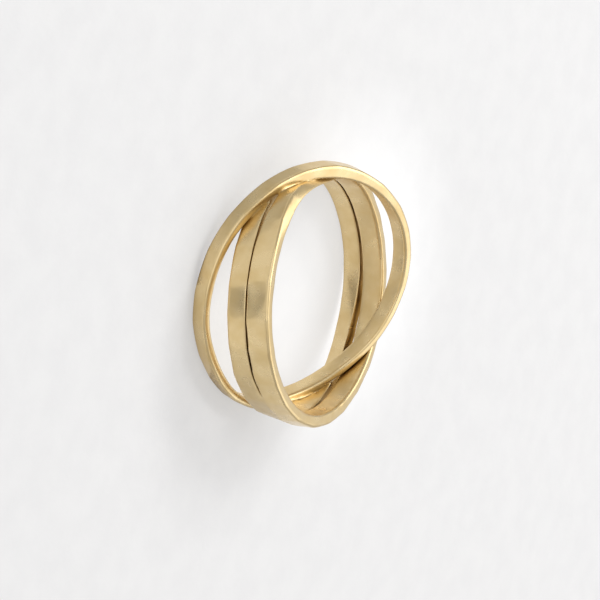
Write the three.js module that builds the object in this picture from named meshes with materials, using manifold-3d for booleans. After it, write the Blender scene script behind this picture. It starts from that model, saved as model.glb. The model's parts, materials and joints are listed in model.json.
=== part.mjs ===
// A finger ring of three flat, lightly hammered gold bands, in millimetres with +Z up.
// Two bands lie side by side around the finger with a thin slit between them. The third is narrower and crosses
// them at a slant, over their outside at one place and through their inside opposite. Solder joins all three.
// The ring lies on its side, on the low side of the crossing band and the far edge of the pair.
import * as THREE from "three";
import Module from "manifold-3d";

// How finely the bands are cut up
const STATIONS = 96;
const EDGE_RADIUS = 0.2;
const EDGE_STEPS = 2;

// Each band is a closed loop around the finger, and each row of its table is one section of it.
// angle is in degrees around the finger, clockwise from the place opposite the inner crossing.
// radius and height place the middle of the metal, height along the finger from the near edge of the pair.
// lean turns the section, in degrees, so that its outer face looks more towards the near side.
// setback is how far the near outer edge is filed back, which slants the near wall.
const COLUMNS = ["angle", "radius", "height", "width", "thickness", "lean", "setback"];

const NEAR_BAND = [
  [0, 8.95, -0.9, 1.8, 0.6, 0, 0.45],
  [30, 9.55, -0.9, 1.8, 0.82, 0, 0],
  [60, 9.58, -0.9, 1.79, 0.84, 0, 0],
  [90, 9.58, -0.89, 1.78, 0.84, 0, 0],
  [120, 9.58, -0.88, 1.75, 0.84, 0, 0],
  [150, 9.58, -0.86, 1.73, 0.84, 0, 0],
  [180, 9.64, -0.86, 1.72, 1, 0, 0],
  [210, 9.6, -0.9, 1.79, 0.92, 0, 0],
  [240, 9.57, -0.91, 1.83, 0.86, 0, 0],
  [270, 9.58, -0.91, 1.82, 0.84, 0, 0],
  [300, 9.62, -0.91, 1.82, 0.92, 0, 0],
  [330, 9.48, -0.87, 1.74, 0.76, 0, 0.55],
];

const FAR_BAND = [
  [0, 9.15, -2.68, 1.58, 0.72, 0, 0],
  [30, 9.55, -2.7, 1.57, 0.82, 0, 0],
  [60, 9.56, -2.7, 1.56, 0.84, 1, 0],
  [90, 9.52, -2.71, 1.55, 0.84, 4, 0],
  [120, 9.46, -2.8, 1.55, 0.84, 18, 0],
  [150, 9.54, -2.8, 1.6, 0.84, 8, 0],
  [180, 9.36, -3.3, 2.9, 0.84, -12, 0],
  [210, 9.42, -2.72, 2.4, 0.82, -9, 0],
  [240, 9.5, -2.76, 1.74, 0.86, -4, 0],
  [270, 9.57, -2.7, 1.58, 0.84, 0, 0],
  [300, 9.56, -2.72, 1.54, 0.84, 0, 0],
  [330, 9.46, -2.77, 1.42, 0.8, 0, 0],
];

const CROSSING_BAND = [
  [0, 9.66, -0.14, 1.48, 1.04, 15, 0],
  [30, 9.04, 1.52, 1.54, 0.82, 23, 0],
  [60, 8.73, 2.14, 1.56, 0.72, 24, 0],
  [90, 8.64, 1.64, 1.58, 0.72, 20, 0],
  [120, 8.76, -0.03, 1.6, 0.72, 9, 0],
  [150, 8.66, -2.6, 1.6, 0.76, -4, 0],
  [180, 8.62, -4.7, 1.52, 0.76, -16, 0],
  [210, 8.87, -5.43, 1.44, 0.66, -22, 0],
  [240, 9.38, -5.61, 1.36, 0.72, -22, 0],
  [270, 10.07, -5.54, 1.32, 0.72, -16, 0],
  [300, 10.4, -4.43, 1.34, 0.76, -5, 0],
  [330, 10.22, -2.34, 1.4, 0.9, 7, 0],
];

// How the ring lies on a table, far side down: the finger's axis leans towards one angle around the finger,
// and the ring is then turned about the upright so that its front faces -Y.
const REST_LEAN_DEG = 8.6;
const REST_LEAN_TOWARDS_DEG = 236.7;
const REST_TURN_DEG = 107.6;

const wasm = await Module();
wasm.setup();

// One column of a band's table at any angle, on a smooth closed curve through its evenly spaced rows.
function columnAt(table, name, angle) {
  const column = COLUMNS.indexOf(name);
  const place = (angle / 360) * table.length;
  const start = Math.floor(place);
  const part = place - start;
  const value = (step) => table[(start + step + table.length) % table.length][column];
  const slopeStart = (value(1) - value(-1)) / 2;
  const slopeEnd = (value(2) - value(0)) / 2;
  const rise = value(1) - value(0);
  const square = slopeStart * part + (3 * rise - 2 * slopeStart - slopeEnd) * part ** 2;
  return value(0) + square + (slopeStart + slopeEnd - 2 * rise) * part ** 3;
}

// A flat section with rounded long edges: x is outwards from the finger, y is along it.
function sectionPoints(width, thickness, setback) {
  const across = thickness / 2 - EDGE_RADIUS;
  const along = width / 2 - EDGE_RADIUS;
  const corners = [
    [across, along - setback],
    [-across, along],
    [-across, -along],
    [across, -along],
  ];
  const points = [];
  corners.forEach(([x, y], corner) => {
    for (let step = 0; step <= EDGE_STEPS; step += 1) {
      const turn = (corner + step / EDGE_STEPS) * (Math.PI / 2);
      points.push(new THREE.Vector2(x + EDGE_RADIUS * Math.cos(turn), y + EDGE_RADIUS * Math.sin(turn)));
    }
  });
  return points;
}

// A closed band as a solid: a section at each station around the finger, joined to the next by a ring of faces.
function bandSolid(table) {
  const positions = [];
  const faces = [];
  const count = sectionPoints(1, 1, 0).length;
  for (let station = 0; station < STATIONS; station += 1) {
    const angle = (station / STATIONS) * 360;
    const around = THREE.MathUtils.degToRad(angle);
    const lean = THREE.MathUtils.degToRad(columnAt(table, "lean", angle));
    const radius = columnAt(table, "radius", angle);
    const height = columnAt(table, "height", angle);
    const section = sectionPoints(
      columnAt(table, "width", angle),
      columnAt(table, "thickness", angle),
      columnAt(table, "setback", angle),
    );
    const next = (station + 1) % STATIONS;
    section.forEach((point, index) => {
      point.rotateAround(new THREE.Vector2(), lean);
      const out = radius + point.x;
      positions.push(out * Math.sin(around), out * Math.cos(around), height + point.y);
      const beside = (index + 1) % count;
      const corners = [station * count + index, next * count + index];
      const opposite = [next * count + beside, station * count + beside];
      faces.push(corners[0], opposite[0], corners[1], corners[0], opposite[1], opposite[0]);
    });
  }
  return new wasm.Manifold(
    new wasm.Mesh({
      numProp: 3,
      vertProperties: new Float32Array(positions),
      triVerts: new Uint32Array(faces),
    }),
  );
}

// A solid's surface as a three.js geometry.
function geometryOf(solid) {
  const mesh = solid.getMesh();
  const geometry = new THREE.BufferGeometry();
  geometry.setAttribute("position", new THREE.BufferAttribute(mesh.vertProperties, 3));
  geometry.setIndex(new THREE.BufferAttribute(mesh.triVerts, 1));
  geometry.computeVertexNormals();
  return geometry;
}

const satinGold = new THREE.MeshStandardMaterial({ color: 0xc9a86a, metalness: 1, roughness: 0.36 });

const soldered = bandSolid(NEAR_BAND).add(bandSolid(FAR_BAND)).add(bandSolid(CROSSING_BAND));
const ring = new THREE.Mesh(geometryOf(soldered), satinGold);
ring.name = "ring";

// The upright of the table as the ring sees it, turned to +Z
const leanTowards = THREE.MathUtils.degToRad(REST_LEAN_TOWARDS_DEG);
const upright = new THREE.Vector3(Math.sin(leanTowards), Math.cos(leanTowards), 0);
upright.multiplyScalar(Math.tan(THREE.MathUtils.degToRad(REST_LEAN_DEG)));
upright.setZ(1).normalize();
ring.quaternion.setFromUnitVectors(upright, new THREE.Vector3(0, 0, 1));

const turned = new THREE.Group();
turned.rotation.z = THREE.MathUtils.degToRad(REST_TURN_DEG);
turned.add(ring);

// The origin is on the table, below the middle of the ring.
const part = new THREE.Group();
part.add(turned);
part.updateMatrixWorld(true);
const box = new THREE.Box3().setFromObject(turned, true);
const middle = box.getCenter(new THREE.Vector3());
turned.position.set(-middle.x, -middle.y, -box.min.z);

export default part;
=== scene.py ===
import json
import math

import bpy
import numpy as np
from mathutils import Matrix, Vector

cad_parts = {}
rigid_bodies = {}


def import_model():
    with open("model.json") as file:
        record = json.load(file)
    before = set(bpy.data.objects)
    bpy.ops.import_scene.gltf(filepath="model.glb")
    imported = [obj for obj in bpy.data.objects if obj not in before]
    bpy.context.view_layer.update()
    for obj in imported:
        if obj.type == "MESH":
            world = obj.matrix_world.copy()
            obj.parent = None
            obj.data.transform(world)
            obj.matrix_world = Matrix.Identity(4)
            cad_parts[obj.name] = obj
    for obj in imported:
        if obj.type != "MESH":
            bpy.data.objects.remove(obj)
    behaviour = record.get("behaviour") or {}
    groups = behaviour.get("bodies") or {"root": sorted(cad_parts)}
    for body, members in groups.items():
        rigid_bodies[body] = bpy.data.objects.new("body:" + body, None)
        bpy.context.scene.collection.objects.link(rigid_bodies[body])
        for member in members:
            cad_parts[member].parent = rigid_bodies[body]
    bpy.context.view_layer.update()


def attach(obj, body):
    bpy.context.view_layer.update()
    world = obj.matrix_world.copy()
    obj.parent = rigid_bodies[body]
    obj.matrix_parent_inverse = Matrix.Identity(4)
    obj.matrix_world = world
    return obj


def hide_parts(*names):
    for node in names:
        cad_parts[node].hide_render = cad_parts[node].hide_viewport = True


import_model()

# The bands, in millimetres, as in the part's source.
# Each band is a closed loop around the finger, and each row of its table is one section of it.
# angle is in degrees around the finger, clockwise from the place opposite the inner crossing.
# radius and height place the middle of the metal, height along the finger from the near edge of the pair.
# lean turns the section, in degrees, so that its outer face looks more towards the near side.
# setback is how far the near outer edge is filed back, which slants the near wall.
COLUMNS = ("angle", "radius", "height", "width", "thickness", "lean", "setback")

NEAR_BAND = (
    (0, 8.95, -0.9, 1.8, 0.6, 0, 0.45),
    (30, 9.55, -0.9, 1.8, 0.82, 0, 0),
    (60, 9.58, -0.9, 1.79, 0.84, 0, 0),
    (90, 9.58, -0.89, 1.78, 0.84, 0, 0),
    (120, 9.58, -0.88, 1.75, 0.84, 0, 0),
    (150, 9.58, -0.86, 1.73, 0.84, 0, 0),
    (180, 9.64, -0.86, 1.72, 1, 0, 0),
    (210, 9.6, -0.9, 1.79, 0.92, 0, 0),
    (240, 9.57, -0.91, 1.83, 0.86, 0, 0),
    (270, 9.58, -0.91, 1.82, 0.84, 0, 0),
    (300, 9.62, -0.91, 1.82, 0.92, 0, 0),
    (330, 9.48, -0.87, 1.74, 0.76, 0, 0.55),
)

FAR_BAND = (
    (0, 9.15, -2.68, 1.58, 0.72, 0, 0),
    (30, 9.55, -2.7, 1.57, 0.82, 0, 0),
    (60, 9.56, -2.7, 1.56, 0.84, 1, 0),
    (90, 9.52, -2.71, 1.55, 0.84, 4, 0),
    (120, 9.46, -2.8, 1.55, 0.84, 18, 0),
    (150, 9.54, -2.8, 1.6, 0.84, 8, 0),
    (180, 9.36, -3.3, 2.9, 0.84, -12, 0),
    (210, 9.42, -2.72, 2.4, 0.82, -9, 0),
    (240, 9.5, -2.76, 1.74, 0.86, -4, 0),
    (270, 9.57, -2.7, 1.58, 0.84, 0, 0),
    (300, 9.56, -2.72, 1.54, 0.84, 0, 0),
    (330, 9.46, -2.77, 1.42, 0.8, 0, 0),
)

CROSSING_BAND = (
    (0, 9.66, -0.14, 1.48, 1.04, 15, 0),
    (30, 9.04, 1.52, 1.54, 0.82, 23, 0),
    (60, 8.73, 2.14, 1.56, 0.72, 24, 0),
    (90, 8.64, 1.64, 1.58, 0.72, 20, 0),
    (120, 8.76, -0.03, 1.6, 0.72, 9, 0),
    (150, 8.66, -2.6, 1.6, 0.76, -4, 0),
    (180, 8.62, -4.7, 1.52, 0.76, -16, 0),
    (210, 8.87, -5.43, 1.44, 0.66, -22, 0),
    (240, 9.38, -5.61, 1.36, 0.72, -22, 0),
    (270, 10.07, -5.54, 1.32, 0.72, -16, 0),
    (300, 10.4, -4.43, 1.34, 0.76, -5, 0),
    (330, 10.22, -2.34, 1.4, 0.9, 7, 0),
)

# How the ring lies, and where its own centre is then
MM = 0.001
REST_LEAN_DEG = 8.6
REST_LEAN_TOWARDS_DEG = 236.7
REST_TURN_DEG = 107.6
RING_CENTRE = Vector((-0.13, 0.607, 4.917)) * MM

# How finely a band is cut up before it is hammered
STATIONS = 240
CUTS_ACROSS = 3
EDGE_STEPS = 3

# How far the long edges are rounded, in millimetres: well round where fingers touch them, crisp at the slit
ROUND_EDGE = 0.22
SLIT_EDGE = 0.08

# Hammer marks, in millimetres: how far apart they lie, and the radius of the hollow that each leaves.
# The edges and the inside of a band show only a share of them. A point counts as on an edge
# where its normal looks less than EDGE_FACING outwards or inwards.
FLAT_SPACING = 2.5
FLAT_HOLLOW = 12.0
DENT_SPACING = 1.2
DENT_HOLLOW = 16.0
JITTER = 0.22
EDGE_SHARE = 0.3
INNER_SHARE = 0.35
EDGE_FACING = 0.3
RIDGE_SOFTNESS = 0.006

# Least values that keep a logarithm and a division from failing
LEAST_SUM = 1e-300
LEAST_LENGTH = 1e-9

# Solder rounds the corners where bands meet, but not at the outer crossing, which stays crisp.
# Points that lie closer than SEAM_MERGE become one, and in such a corner closer than SOLDER_MERGE,
# both in millimetres.
SOLDER_CORNER_DEG = 28
SEAM_MERGE = 0.001
SOLDER_MERGE = 0.02
SOLDER_REACH = 3
SOLDER_PASSES = 10
CRISP_HALF_ARC_DEG = 50

# Faces that meet at less than this are shaded as one smooth surface
SMOOTH_BELOW_DEG = 35

# A surface drifts from one tone to the other while the noise of its patches goes from low to high.
PATCH_LOW = 0.35
PATCH_HIGH = 0.65

# The metal: its tones as linear red, green and blue, its patches and grain as noise cells per metre,
# the depth of the grain and how far the painted shade reaches out of the crevices, both in millimetres.
# The painted shade is brown and stands in for shade where bands close in: full where a place is as closed
# in as CREVICE, and gone where it is as open as the next value.
DEEP_GOLD = (0.735, 0.55, 0.265)
PALE_GOLD = (0.795, 0.62, 0.335)
# Brown of the painted shade in crevices and where bands close in on each other
PAINTED_SHADE_BROWN = (0.44, 0.295, 0.105)
GOLD_PATCHES = 700
GOLD_GRAIN = 9000
GOLD_GRAIN_DEPTH = 0.006
PAINTED_SHADE_REACH = 1.1
CREVICE = 0.1
UNSHADED_OPENNESS = 0.8
DULL_ROUGHNESS = 0.34
BRIGHT_ROUGHNESS = 0.26

# The floor: its size in metres, then its tones, patches and grain as for the metal.
# The floor glows evenly, and more around a centre behind the ring: painted light that fills in the ring's
# shadow. Given are the glow's centre and how far its full and its fading glow reach, in millimetres.
FLOOR_SIZE = 6
# Two paper tones that change at random from patch to patch
DARKER_PAPER = (0.35, 0.348, 0.348)
PALER_PAPER = (0.37, 0.368, 0.366)
PAPER_PATCHES = 400
PAPER_GRAIN = 1500
PAPER_GRAIN_DEPTH = 0.06
PAINTED_GLOW_CENTRE = Vector((-2, 10, 0))
PAINTED_GLOW_FULL = 5
PAINTED_GLOW_FADED = 18
PAINTED_GLOW_STRENGTH = 0.61
FULL_GLOW = (1, 1, 1)
FADED_GLOW = (0.74, 0.735, 0.73)

# The camera, seen from the ring's own axes, in degrees and millimetres
VIEW_AROUND_DEG = 62.58
VIEW_ABOVE_DEG = 12.42
VIEW_DISTANCE = 250.0
VIEW_WIDTH = 45.46
AIM_RIGHT = -2.258
AIM_UP = -0.371

# Grey cards in front of the ring and inside it, in millimetres on the floor: low edge, high edge and tone.
# Each edge is given by its two ends, and a card fades out towards its high edge.
CARD_HEIGHT = 0.2
CARD_FADE = 0.4
FADED_CARD = 0.9
CARDS = {
    "outer_card": (((5.0, -14.5), (12.0, -24.0)), ((0.2, -14.5), (2.4, -24.0)), 0.24),
    "inner_card": (((1.9, 0.3), (0.6, 8.1)), ((-0.2, 0.3), (-1.4, 8.1)), 0.45),
    "upper_card": (((-19.0, -1.0), (-17.0, -14.0)), ((1.5, -6.0), (1.5, -13.5)), 0.46),
    "lower_card": (((26.0, 8.0), (26.0, -16.0)), ((8.0, 8.0), (8.0, -16.0)), 0.68),
}

# The room's light, and the softboxes: direction from the ring, distance and size in metres, power in watts,
# and whether the metal mirrors it and whether it lights the floor
ROOM_TONE = (0.9, 0.9, 0.92)
ROOM_STRENGTH = 0.56
SOFTBOXES = {
    "key_softbox": ((-0.42, 0.38, 0.82), 0.5, 0.4, 1.0, True, True),
    "crossing_softbox": ((0.3, 0.62, 0.73), 0.6, 0.42, 0.55, True, True),
    "back_softbox": ((-0.1, 0.93, 0.36), 0.6, 0.3, 0.1, True, True),
    "front_softbox": ((0.0, -0.75, 0.66), 0.6, 0.7, 1.0, True, False),
    "floor_softbox": ((-0.78, 0.14, 0.6), 0.5, 0.22, 1.4, False, True),
}


def column_at(table, name, angles):
    """One column of a band's table at any angles.
    A smooth closed curve runs through the evenly spaced rows."""
    column = np.array([row[COLUMNS.index(name)] for row in table], float)
    count = len(column)
    place = angles / 360 * count
    start = np.floor(place).astype(int)
    part = place - start
    before = column[(start - 1) % count]
    here = column[start % count]
    after = column[(start + 1) % count]
    beyond = column[(start + 2) % count]
    slope_start = (after - before) / 2
    slope_end = (beyond - here) / 2
    rise = after - here
    bend = 3 * rise - 2 * slope_start - slope_end
    return here + slope_start * part + bend * part**2 + (slope_start + slope_end - 2 * rise) * part**3


def deselect_all():
    """Leaves nothing selected, in object mode."""
    if bpy.context.object and bpy.context.object.mode != "OBJECT":
        bpy.ops.object.mode_set(mode="OBJECT")
    bpy.ops.object.select_all(action="DESELECT")


def make_active(piece):
    """Selects one piece alone and makes it active."""
    deselect_all()
    piece.select_set(True)
    bpy.context.view_layer.objects.active = piece


def apply_modifier(piece, kind, **settings):
    """Adds one modifier to a piece and applies it."""
    make_active(piece)
    modifier = piece.modifiers.new(kind.title(), kind)
    for setting, value in settings.items():
        setattr(modifier, setting, value)
    bpy.ops.object.modifier_apply(modifier=modifier.name)


def points_of(mesh):
    """The places of a mesh's vertices, one row each."""
    flat = np.empty(len(mesh.vertices) * 3)
    mesh.vertices.foreach_get("co", flat)
    return flat.reshape(-1, 3)


def select_rim(hoop, height, thickness):
    """Selects the two long edges of a hoop's wall at one height, in edit mode."""
    make_active(hoop)
    mesh = hoop.data
    close = thickness / 10
    bpy.ops.object.mode_set(mode="EDIT")
    bpy.ops.mesh.select_mode(type="EDGE")
    bpy.ops.mesh.select_all(action="DESELECT")
    bpy.ops.object.mode_set(mode="OBJECT")
    for edge in mesh.edges:
        start, end = (mesh.vertices[index].co for index in edge.vertices)
        at_height = max(abs(start.z - height), abs(end.z - height)) < close
        along_the_loop = abs(start.xy.length - end.xy.length) < close
        edge.select = at_height and along_the_loop
    bpy.ops.object.mode_set(mode="EDIT")


def strip_hoop(name, radius, width, thickness, near_edge, far_edge):
    """A plain hoop of flat strip with rounded long edges, before it is bent to its path and hammered."""
    deselect_all()
    bpy.ops.mesh.primitive_cylinder_add(
        vertices=STATIONS, radius=radius, depth=width, end_fill_type="NOTHING"
    )
    hoop = bpy.context.object
    hoop.name = name
    mesh = hoop.data
    bpy.ops.object.mode_set(mode="EDIT")
    bpy.ops.mesh.select_mode(type="EDGE")
    bpy.ops.mesh.select_all(action="DESELECT")
    bpy.ops.object.mode_set(mode="OBJECT")
    for edge in mesh.edges:
        low, high = (mesh.vertices[index].co.z for index in edge.vertices)
        edge.select = abs(high - low) > width / 2
    bpy.ops.object.mode_set(mode="EDIT")
    bpy.ops.mesh.subdivide(number_cuts=CUTS_ACROSS)
    bpy.ops.mesh.select_all(action="SELECT")
    bpy.ops.mesh.normals_make_consistent(inside=False)
    apply_modifier(hoop, "SOLIDIFY", thickness=thickness, offset=0)
    for height, edge_radius in ((width / 2, near_edge), (-width / 2, far_edge)):
        select_rim(hoop, height, thickness)
        bpy.ops.mesh.bevel(offset=edge_radius, segments=EDGE_STEPS, affect="EDGES", clamp_overlap=False)
    apply_modifier(hoop, "SUBSURF", levels=1, render_levels=1)
    return hoop


def hammer_marks(points, loop_length, width, thickness, spacing, hollow, draws):
    """How far the hammer leaves each point above the bottom of its mark.
    points are (along the loop, outwards, along the finger), and the marks lie in uneven rows
    on every face."""
    around = max(3, round(loop_length / spacing))
    rows_wide = max(1, round(width / spacing))
    faces = []
    for row in range(rows_wide):
        shift = (row + 0.5) / rows_wide * width - width / 2
        faces.append((thickness / 2, shift))
        faces.append((-thickness / 2, shift))
    faces.append((0, width / 2))
    faces.append((0, -width / 2))
    total = np.zeros(len(points))
    for outwards, finger in faces:
        for step in range(around):
            jitter = draws.uniform(-JITTER, JITTER, 2) * spacing
            centre = (step + 0.5) * loop_length / around + jitter[0]
            gap = np.abs(points[:, 0] - centre) % loop_length
            gap = np.minimum(gap, loop_length - gap)
            square = gap**2 + (points[:, 1] - outwards) ** 2 + (points[:, 2] - finger - jitter[1] / 2) ** 2
            total += np.exp(-square / (2 * hollow) / RIDGE_SOFTNESS)
    return -RIDGE_SOFTNESS * np.log(np.maximum(total, LEAST_SUM))


def hammered_band(name, table, near_edge, far_edge, force, seed):
    """One band, bent to its path around the finger, with the hammer's flats and dents in its faces.
    force is how hard the hammer fell on this band, from 0 to 1."""
    radius, width, thickness = (
        float(np.mean([row[COLUMNS.index(column)] for row in table]))
        for column in ("radius", "width", "thickness")
    )
    band = strip_hoop(name, radius, width, thickness, near_edge, far_edge)
    draws = np.random.default_rng(seed)
    points = points_of(band.data)
    angles = np.degrees(np.arctan2(points[:, 0], points[:, 1])) % 360
    out = np.hypot(points[:, 0], points[:, 1]) - radius
    along = points[:, 2]
    loop_length = 2 * math.pi * radius
    unrolled = np.stack([angles / 360 * loop_length, out, along], 1)
    flats = hammer_marks(unrolled, loop_length, width, thickness, FLAT_SPACING, FLAT_HOLLOW, draws)
    dents = hammer_marks(unrolled, loop_length, width, thickness, DENT_SPACING, DENT_HOLLOW, draws)
    lift = force * (flats - np.mean(flats) + dents - np.mean(dents))
    edge = np.where(along > 0, near_edge, far_edge)
    core_out = np.clip(out, edge - thickness / 2, thickness / 2 - edge)
    core_along = np.clip(along, edge - width / 2, width / 2 - edge)
    normal = np.stack([out - core_out, along - core_along], 1)
    normal /= np.maximum(np.linalg.norm(normal, axis=1, keepdims=True), LEAST_LENGTH)
    facing = (-1, -EDGE_FACING, EDGE_FACING, 1)
    lift *= np.interp(normal[:, 0], facing, (INNER_SHARE, EDGE_SHARE, EDGE_SHARE, 1))
    filed = column_at(table, "setback", angles) * (out / thickness + 0.5) * np.clip(along / width * 2, 0, 1)
    out = out * column_at(table, "thickness", angles) / thickness + lift * normal[:, 0]
    along = along * column_at(table, "width", angles) / width + lift * normal[:, 1] - filed
    lean = np.radians(column_at(table, "lean", angles))
    distance = column_at(table, "radius", angles) + out * np.cos(lean) - along * np.sin(lean)
    height = column_at(table, "height", angles) + out * np.sin(lean) + along * np.cos(lean)
    turn = np.radians(angles)
    placed = np.stack([distance * np.sin(turn), distance * np.cos(turn), height], 1)
    band.data.vertices.foreach_set("co", placed.ravel())
    band.data.update()
    return band


def rest_matrix():
    """From the ring's own axes in millimetres to how it lies, in metres."""
    towards = math.radians(REST_LEAN_TOWARDS_DEG)
    upright = Vector((math.sin(towards), math.cos(towards), 0))
    upright *= math.tan(math.radians(REST_LEAN_DEG))
    upright.z = 1
    lean = upright.rotation_difference(Vector((0, 0, 1))).to_matrix().to_4x4()
    turn = Matrix.Rotation(math.radians(REST_TURN_DEG), 4, "Z")
    return Matrix.Translation(RING_CENTRE) @ turn @ lean @ Matrix.Scale(MM, 4)


def fill_with_solder(ring):
    """Rounds the corners where the bands run into each other."""
    make_active(ring)
    mesh = ring.data
    bpy.ops.object.mode_set(mode="EDIT")
    bpy.ops.mesh.select_mode(type="EDGE")
    bpy.ops.mesh.select_all(action="SELECT")
    bpy.ops.mesh.remove_doubles(threshold=SEAM_MERGE)
    bpy.ops.mesh.select_all(action="DESELECT")
    bpy.ops.mesh.edges_select_sharp(sharpness=math.radians(SOLDER_CORNER_DEG))
    bpy.ops.mesh.select_mode(type="VERT")
    bpy.ops.object.mode_set(mode="OBJECT")
    for vertex in mesh.vertices:
        from_crossing = abs(math.degrees(math.atan2(vertex.co.x, vertex.co.y)))
        vertex.select = vertex.select and from_crossing > CRISP_HALF_ARC_DEG
    bpy.ops.object.mode_set(mode="EDIT")
    bpy.ops.mesh.select_mode(type="VERT")
    bpy.ops.mesh.remove_doubles(threshold=SOLDER_MERGE)
    for _ in range(SOLDER_REACH):
        bpy.ops.mesh.select_more()
    bpy.ops.mesh.vertices_smooth(factor=0.5, repeat=SOLDER_PASSES)
    bpy.ops.object.mode_set(mode="OBJECT")


def soldered_ring(rest):
    """The three bands joined into one body of metal, laid down as it rests."""
    ring = hammered_band("hammered_ring", NEAR_BAND, ROUND_EDGE, SLIT_EDGE, force=1.0, seed=11)
    others = (
        hammered_band("far_band", FAR_BAND, SLIT_EDGE, ROUND_EDGE, force=1.0, seed=23),
        hammered_band("crossing_band", CROSSING_BAND, ROUND_EDGE, ROUND_EDGE, force=0.6, seed=37),
    )
    for band in others:
        apply_modifier(ring, "BOOLEAN", operation="UNION", solver="EXACT", object=band)
        bpy.data.objects.remove(band)
    fill_with_solder(ring)
    ring.matrix_world = rest
    bpy.ops.object.transform_apply(location=True, rotation=True, scale=True)
    bpy.ops.object.shade_smooth_by_angle(angle=math.radians(SMOOTH_BELOW_DEG))
    return ring


def mottle_group():
    """Soft patches and a fine grain, for any surface: two values that change from place to place."""
    group = bpy.data.node_groups.new("soft_mottle", "ShaderNodeTree")
    sockets = group.interface
    sockets.new_socket(name="Vector", in_out="INPUT", socket_type="NodeSocketVector")
    sockets.new_socket(name="Patch Scale", in_out="INPUT", socket_type="NodeSocketFloat")
    sockets.new_socket(name="Grain Scale", in_out="INPUT", socket_type="NodeSocketFloat")
    sockets.new_socket(name="Patches", in_out="OUTPUT", socket_type="NodeSocketFloat")
    sockets.new_socket(name="Grain", in_out="OUTPUT", socket_type="NodeSocketFloat")
    inside = group.nodes.new("NodeGroupInput")
    outside = group.nodes.new("NodeGroupOutput")
    for scale, detail, output in (("Patch Scale", 3, "Patches"), ("Grain Scale", 2, "Grain")):
        noise = group.nodes.new("ShaderNodeTexNoise")
        noise.inputs["Detail"].default_value = detail
        group.links.new(inside.outputs["Vector"], noise.inputs["Vector"])
        group.links.new(inside.outputs[scale], noise.inputs["Scale"])
        group.links.new(noise.outputs["Fac"], outside.inputs[output])
    return group


def mottled_material(name, mottle, patch_scale, grain_scale, grain_depth, tones):
    """A new material whose colour drifts between two tones and whose surface has a fine grain.
    Returns the material, its shader, its patches and its colour."""
    material = bpy.data.materials.new(name)
    material.use_nodes = True
    nodes = material.node_tree.nodes
    links = material.node_tree.links
    shader = nodes["Principled BSDF"]
    place = nodes.new("ShaderNodeTexCoord")
    spread = nodes.new("ShaderNodeGroup")
    spread.node_tree = mottle
    spread.inputs["Patch Scale"].default_value = patch_scale
    spread.inputs["Grain Scale"].default_value = grain_scale
    ramp = nodes.new("ShaderNodeValToRGB")
    for stop, position, tone in zip(ramp.color_ramp.elements, (PATCH_LOW, PATCH_HIGH), tones):
        stop.position = position
        stop.color = (*tone, 1)
    bump = nodes.new("ShaderNodeBump")
    bump.inputs["Strength"].default_value = 0.3
    bump.inputs["Distance"].default_value = grain_depth * MM
    links.new(place.outputs["Object"], spread.inputs["Vector"])
    links.new(spread.outputs["Patches"], ramp.inputs["Fac"])
    links.new(ramp.outputs["Color"], shader.inputs["Base Color"])
    links.new(spread.outputs["Grain"], bump.inputs["Height"])
    links.new(bump.outputs["Normal"], shader.inputs["Normal"])
    return material, shader, spread.outputs["Patches"], ramp.outputs["Color"]


def satin_gold(mottle):
    """Satin yellow gold, a little deeper and duller in soft patches, with painted brown shade in its
    crevices.
    """
    material, shader, patches, colour = mottled_material(
        "satin_gold", mottle, GOLD_PATCHES, GOLD_GRAIN, GOLD_GRAIN_DEPTH, (DEEP_GOLD, PALE_GOLD)
    )
    nodes = material.node_tree.nodes
    links = material.node_tree.links
    shader.inputs["Metallic"].default_value = 1.0
    shader.inputs["Coat Weight"].default_value = 0.35
    shader.inputs["Coat Roughness"].default_value = 0.25
    # Painted shade: ambient occlusion darkens the colour to brown where the metal is closed in, as shade
    # falls there.
    openness = nodes.new("ShaderNodeAmbientOcclusion")
    openness.samples = 8
    openness.inputs["Distance"].default_value = PAINTED_SHADE_REACH * MM
    shade_from_openness = nodes.new("ShaderNodeMapRange")
    shade_from_openness.inputs["From Min"].default_value = CREVICE
    shade_from_openness.inputs["From Max"].default_value = UNSHADED_OPENNESS
    painted_shade = nodes.new("ShaderNodeMix")
    painted_shade.data_type = "RGBA"
    painted_shade.inputs["A"].default_value = (*PAINTED_SHADE_BROWN, 1)
    links.new(openness.outputs["AO"], shade_from_openness.inputs["Value"])
    links.new(shade_from_openness.outputs["Result"], painted_shade.inputs["Factor"])
    links.new(colour, painted_shade.inputs["B"])
    links.new(painted_shade.outputs["Result"], shader.inputs["Base Color"])
    dullness = nodes.new("ShaderNodeMapRange")
    dullness.inputs["From Min"].default_value = PATCH_LOW
    dullness.inputs["From Max"].default_value = PATCH_HIGH
    dullness.inputs["To Min"].default_value = DULL_ROUGHNESS
    dullness.inputs["To Max"].default_value = BRIGHT_ROUGHNESS
    links.new(patches, dullness.inputs["Value"])
    links.new(dullness.outputs["Result"], shader.inputs["Roughness"])
    return material


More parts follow.
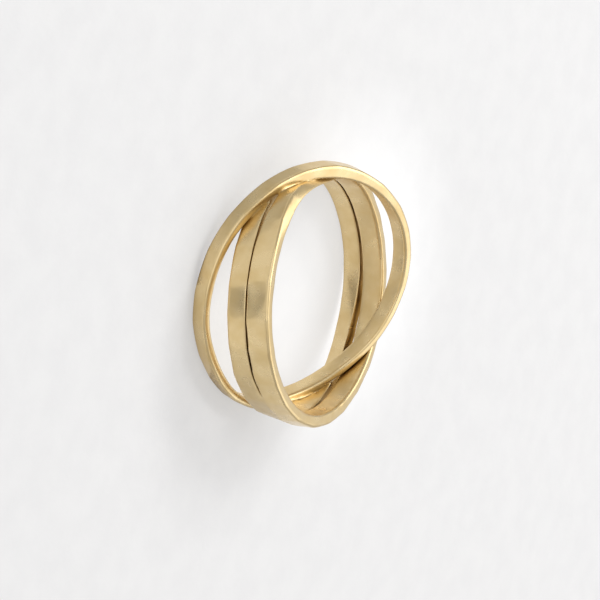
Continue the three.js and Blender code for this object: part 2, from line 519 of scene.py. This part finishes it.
def paper(mottle):
    """The pale floor: thick white paper with a faint tooth. It glows evenly, and more behind the ring:
    painted light that fills in the ring's shadow there."""
    material, shader, _, _ = mottled_material(
        "pale_paper", mottle, PAPER_PATCHES, PAPER_GRAIN, PAPER_GRAIN_DEPTH, (DARKER_PAPER, PALER_PAPER)
    )
    shader.inputs["Roughness"].default_value = 0.9
    # Painted light: the floor glows, brightest around a centre behind the ring, to fill in the ring's
    # shadow there.
    shader.inputs["Emission Strength"].default_value = PAINTED_GLOW_STRENGTH
    shader.inputs["Specular IOR Level"].default_value = 0.0
    nodes = material.node_tree.nodes
    links = material.node_tree.links
    place = nodes.new("ShaderNodeTexCoord")
    distance = nodes.new("ShaderNodeVectorMath")
    distance.operation = "DISTANCE"
    distance.inputs[1].default_value = PAINTED_GLOW_CENTRE * MM
    from_glow_centre = nodes.new("ShaderNodeMapRange")
    from_glow_centre.interpolation_type = "SMOOTHSTEP"
    from_glow_centre.inputs["From Min"].default_value = PAINTED_GLOW_FULL * MM
    from_glow_centre.inputs["From Max"].default_value = PAINTED_GLOW_FADED * MM
    glow = nodes.new("ShaderNodeValToRGB")
    for stop, tone in zip(glow.color_ramp.elements, (FULL_GLOW, FADED_GLOW)):
        stop.color = (*tone, 1)
    links.new(place.outputs["Object"], distance.inputs[0])
    links.new(distance.outputs["Value"], from_glow_centre.inputs["Value"])
    links.new(from_glow_centre.outputs["Result"], glow.inputs["Fac"])
    links.new(glow.outputs["Color"], shader.inputs["Emission Color"])
    return material


def grey_card(name, tone):
    """Grey card that fades into a pale tone at its high edge."""
    material = bpy.data.materials.new(name)
    material.use_nodes = True
    nodes = material.node_tree.nodes
    links = material.node_tree.links
    shader = nodes["Principled BSDF"]
    place = nodes.new("ShaderNodeTexCoord")
    across = nodes.new("ShaderNodeSeparateXYZ")
    fade = nodes.new("ShaderNodeValToRGB")
    for stop, position, grey in zip(fade.color_ramp.elements, (0.0, CARD_FADE), (FADED_CARD, tone)):
        stop.position = position
        stop.color = (grey, grey, grey, 1)
    links.new(place.outputs["UV"], across.inputs["Vector"])
    links.new(across.outputs["X"], fade.inputs["Fac"])
    links.new(fade.outputs["Color"], shader.inputs["Base Color"])
    shader.inputs["Roughness"].default_value = 0.9
    shader.inputs["Specular IOR Level"].default_value = 0.0
    return material


def add_floor(mottle):
    """A large plain floor, which isn't part of the ring."""
    deselect_all()
    bpy.ops.mesh.primitive_plane_add(size=FLOOR_SIZE)
    floor = bpy.context.object
    floor.name = "floor"
    floor.data.materials.append(paper(mottle))


def add_card(name, low_edge, high_edge, tone):
    """A grey card just above the floor, which only the metal mirrors."""
    deselect_all()
    bpy.ops.mesh.primitive_plane_add(size=1)
    card = bpy.context.object
    card.name = name
    ends = {(-1, -1): high_edge[0], (-1, 1): high_edge[1], (1, -1): low_edge[0], (1, 1): low_edge[1]}
    for corner in card.data.vertices:
        side = (round(2 * corner.co.x), round(2 * corner.co.y))
        corner.co = Vector((*ends[side], CARD_HEIGHT)) * MM
    card.data.materials.append(grey_card(name, tone))
    card.visible_camera = False
    card.visible_diffuse = False
    card.visible_shadow = False


def add_softbox(name, towards, distance, size, power, mirrored, lights_floor):
    """A square soft light in one direction from the ring, turned to face it."""
    deselect_all()
    bpy.ops.object.light_add(type="AREA")
    light = bpy.context.object
    light.name = name
    direction = Vector(towards).normalized()
    light.location = direction * distance
    light.rotation_euler = direction.to_track_quat("Z", "Y").to_euler()
    light.data.shape = "SQUARE"
    light.data.size = size
    light.data.energy = power
    light.visible_glossy = mirrored
    light.visible_diffuse = lights_floor


def add_camera(rest):
    """A camera at the photograph's angle to the ring, which is seen from above the floor."""
    around = math.radians(VIEW_AROUND_DEG)
    above = math.radians(VIEW_ABOVE_DEG)
    towards = Vector(
        (-math.sin(around) * math.cos(above), math.sin(above), math.cos(around) * math.cos(above))
    )
    right = Vector((0, 1, 0)).cross(towards).normalized()
    up = towards.cross(right)
    eye = right * AIM_RIGHT + up * AIM_UP + towards * VIEW_DISTANCE
    turn = Matrix((right, up, towards)).transposed()
    deselect_all()
    bpy.ops.object.camera_add()
    camera = bpy.context.object
    camera.matrix_world = (
        Matrix.Translation(rest @ eye)
        @ rest.to_quaternion().to_matrix().to_4x4()
        @ turn.to_4x4()
    )
    camera.data.angle = 2 * math.atan(VIEW_WIDTH / 2 / VIEW_DISTANCE)
    bpy.context.scene.camera = camera


def add_light():
    """Soft studio light: a pale room and softboxes."""
    world = bpy.data.worlds.new("pale_room")
    world.use_nodes = True
    background = world.node_tree.nodes["Background"]
    background.inputs["Color"].default_value = (*ROOM_TONE, 1)
    background.inputs["Strength"].default_value = ROOM_STRENGTH
    bpy.context.scene.world = world
    for name, softbox in SOFTBOXES.items():
        add_softbox(name, *softbox)
    bpy.context.scene.view_settings.view_transform = "Standard"


rest = rest_matrix()
mottle = mottle_group()
ring = soldered_ring(rest)
ring.data.materials.clear()
ring.data.materials.append(satin_gold(mottle))
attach(ring, "root")
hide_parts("ring")
add_floor(mottle)
for name, card in CARDS.items():
    add_card(name, *card)
add_camera(rest)
add_light()
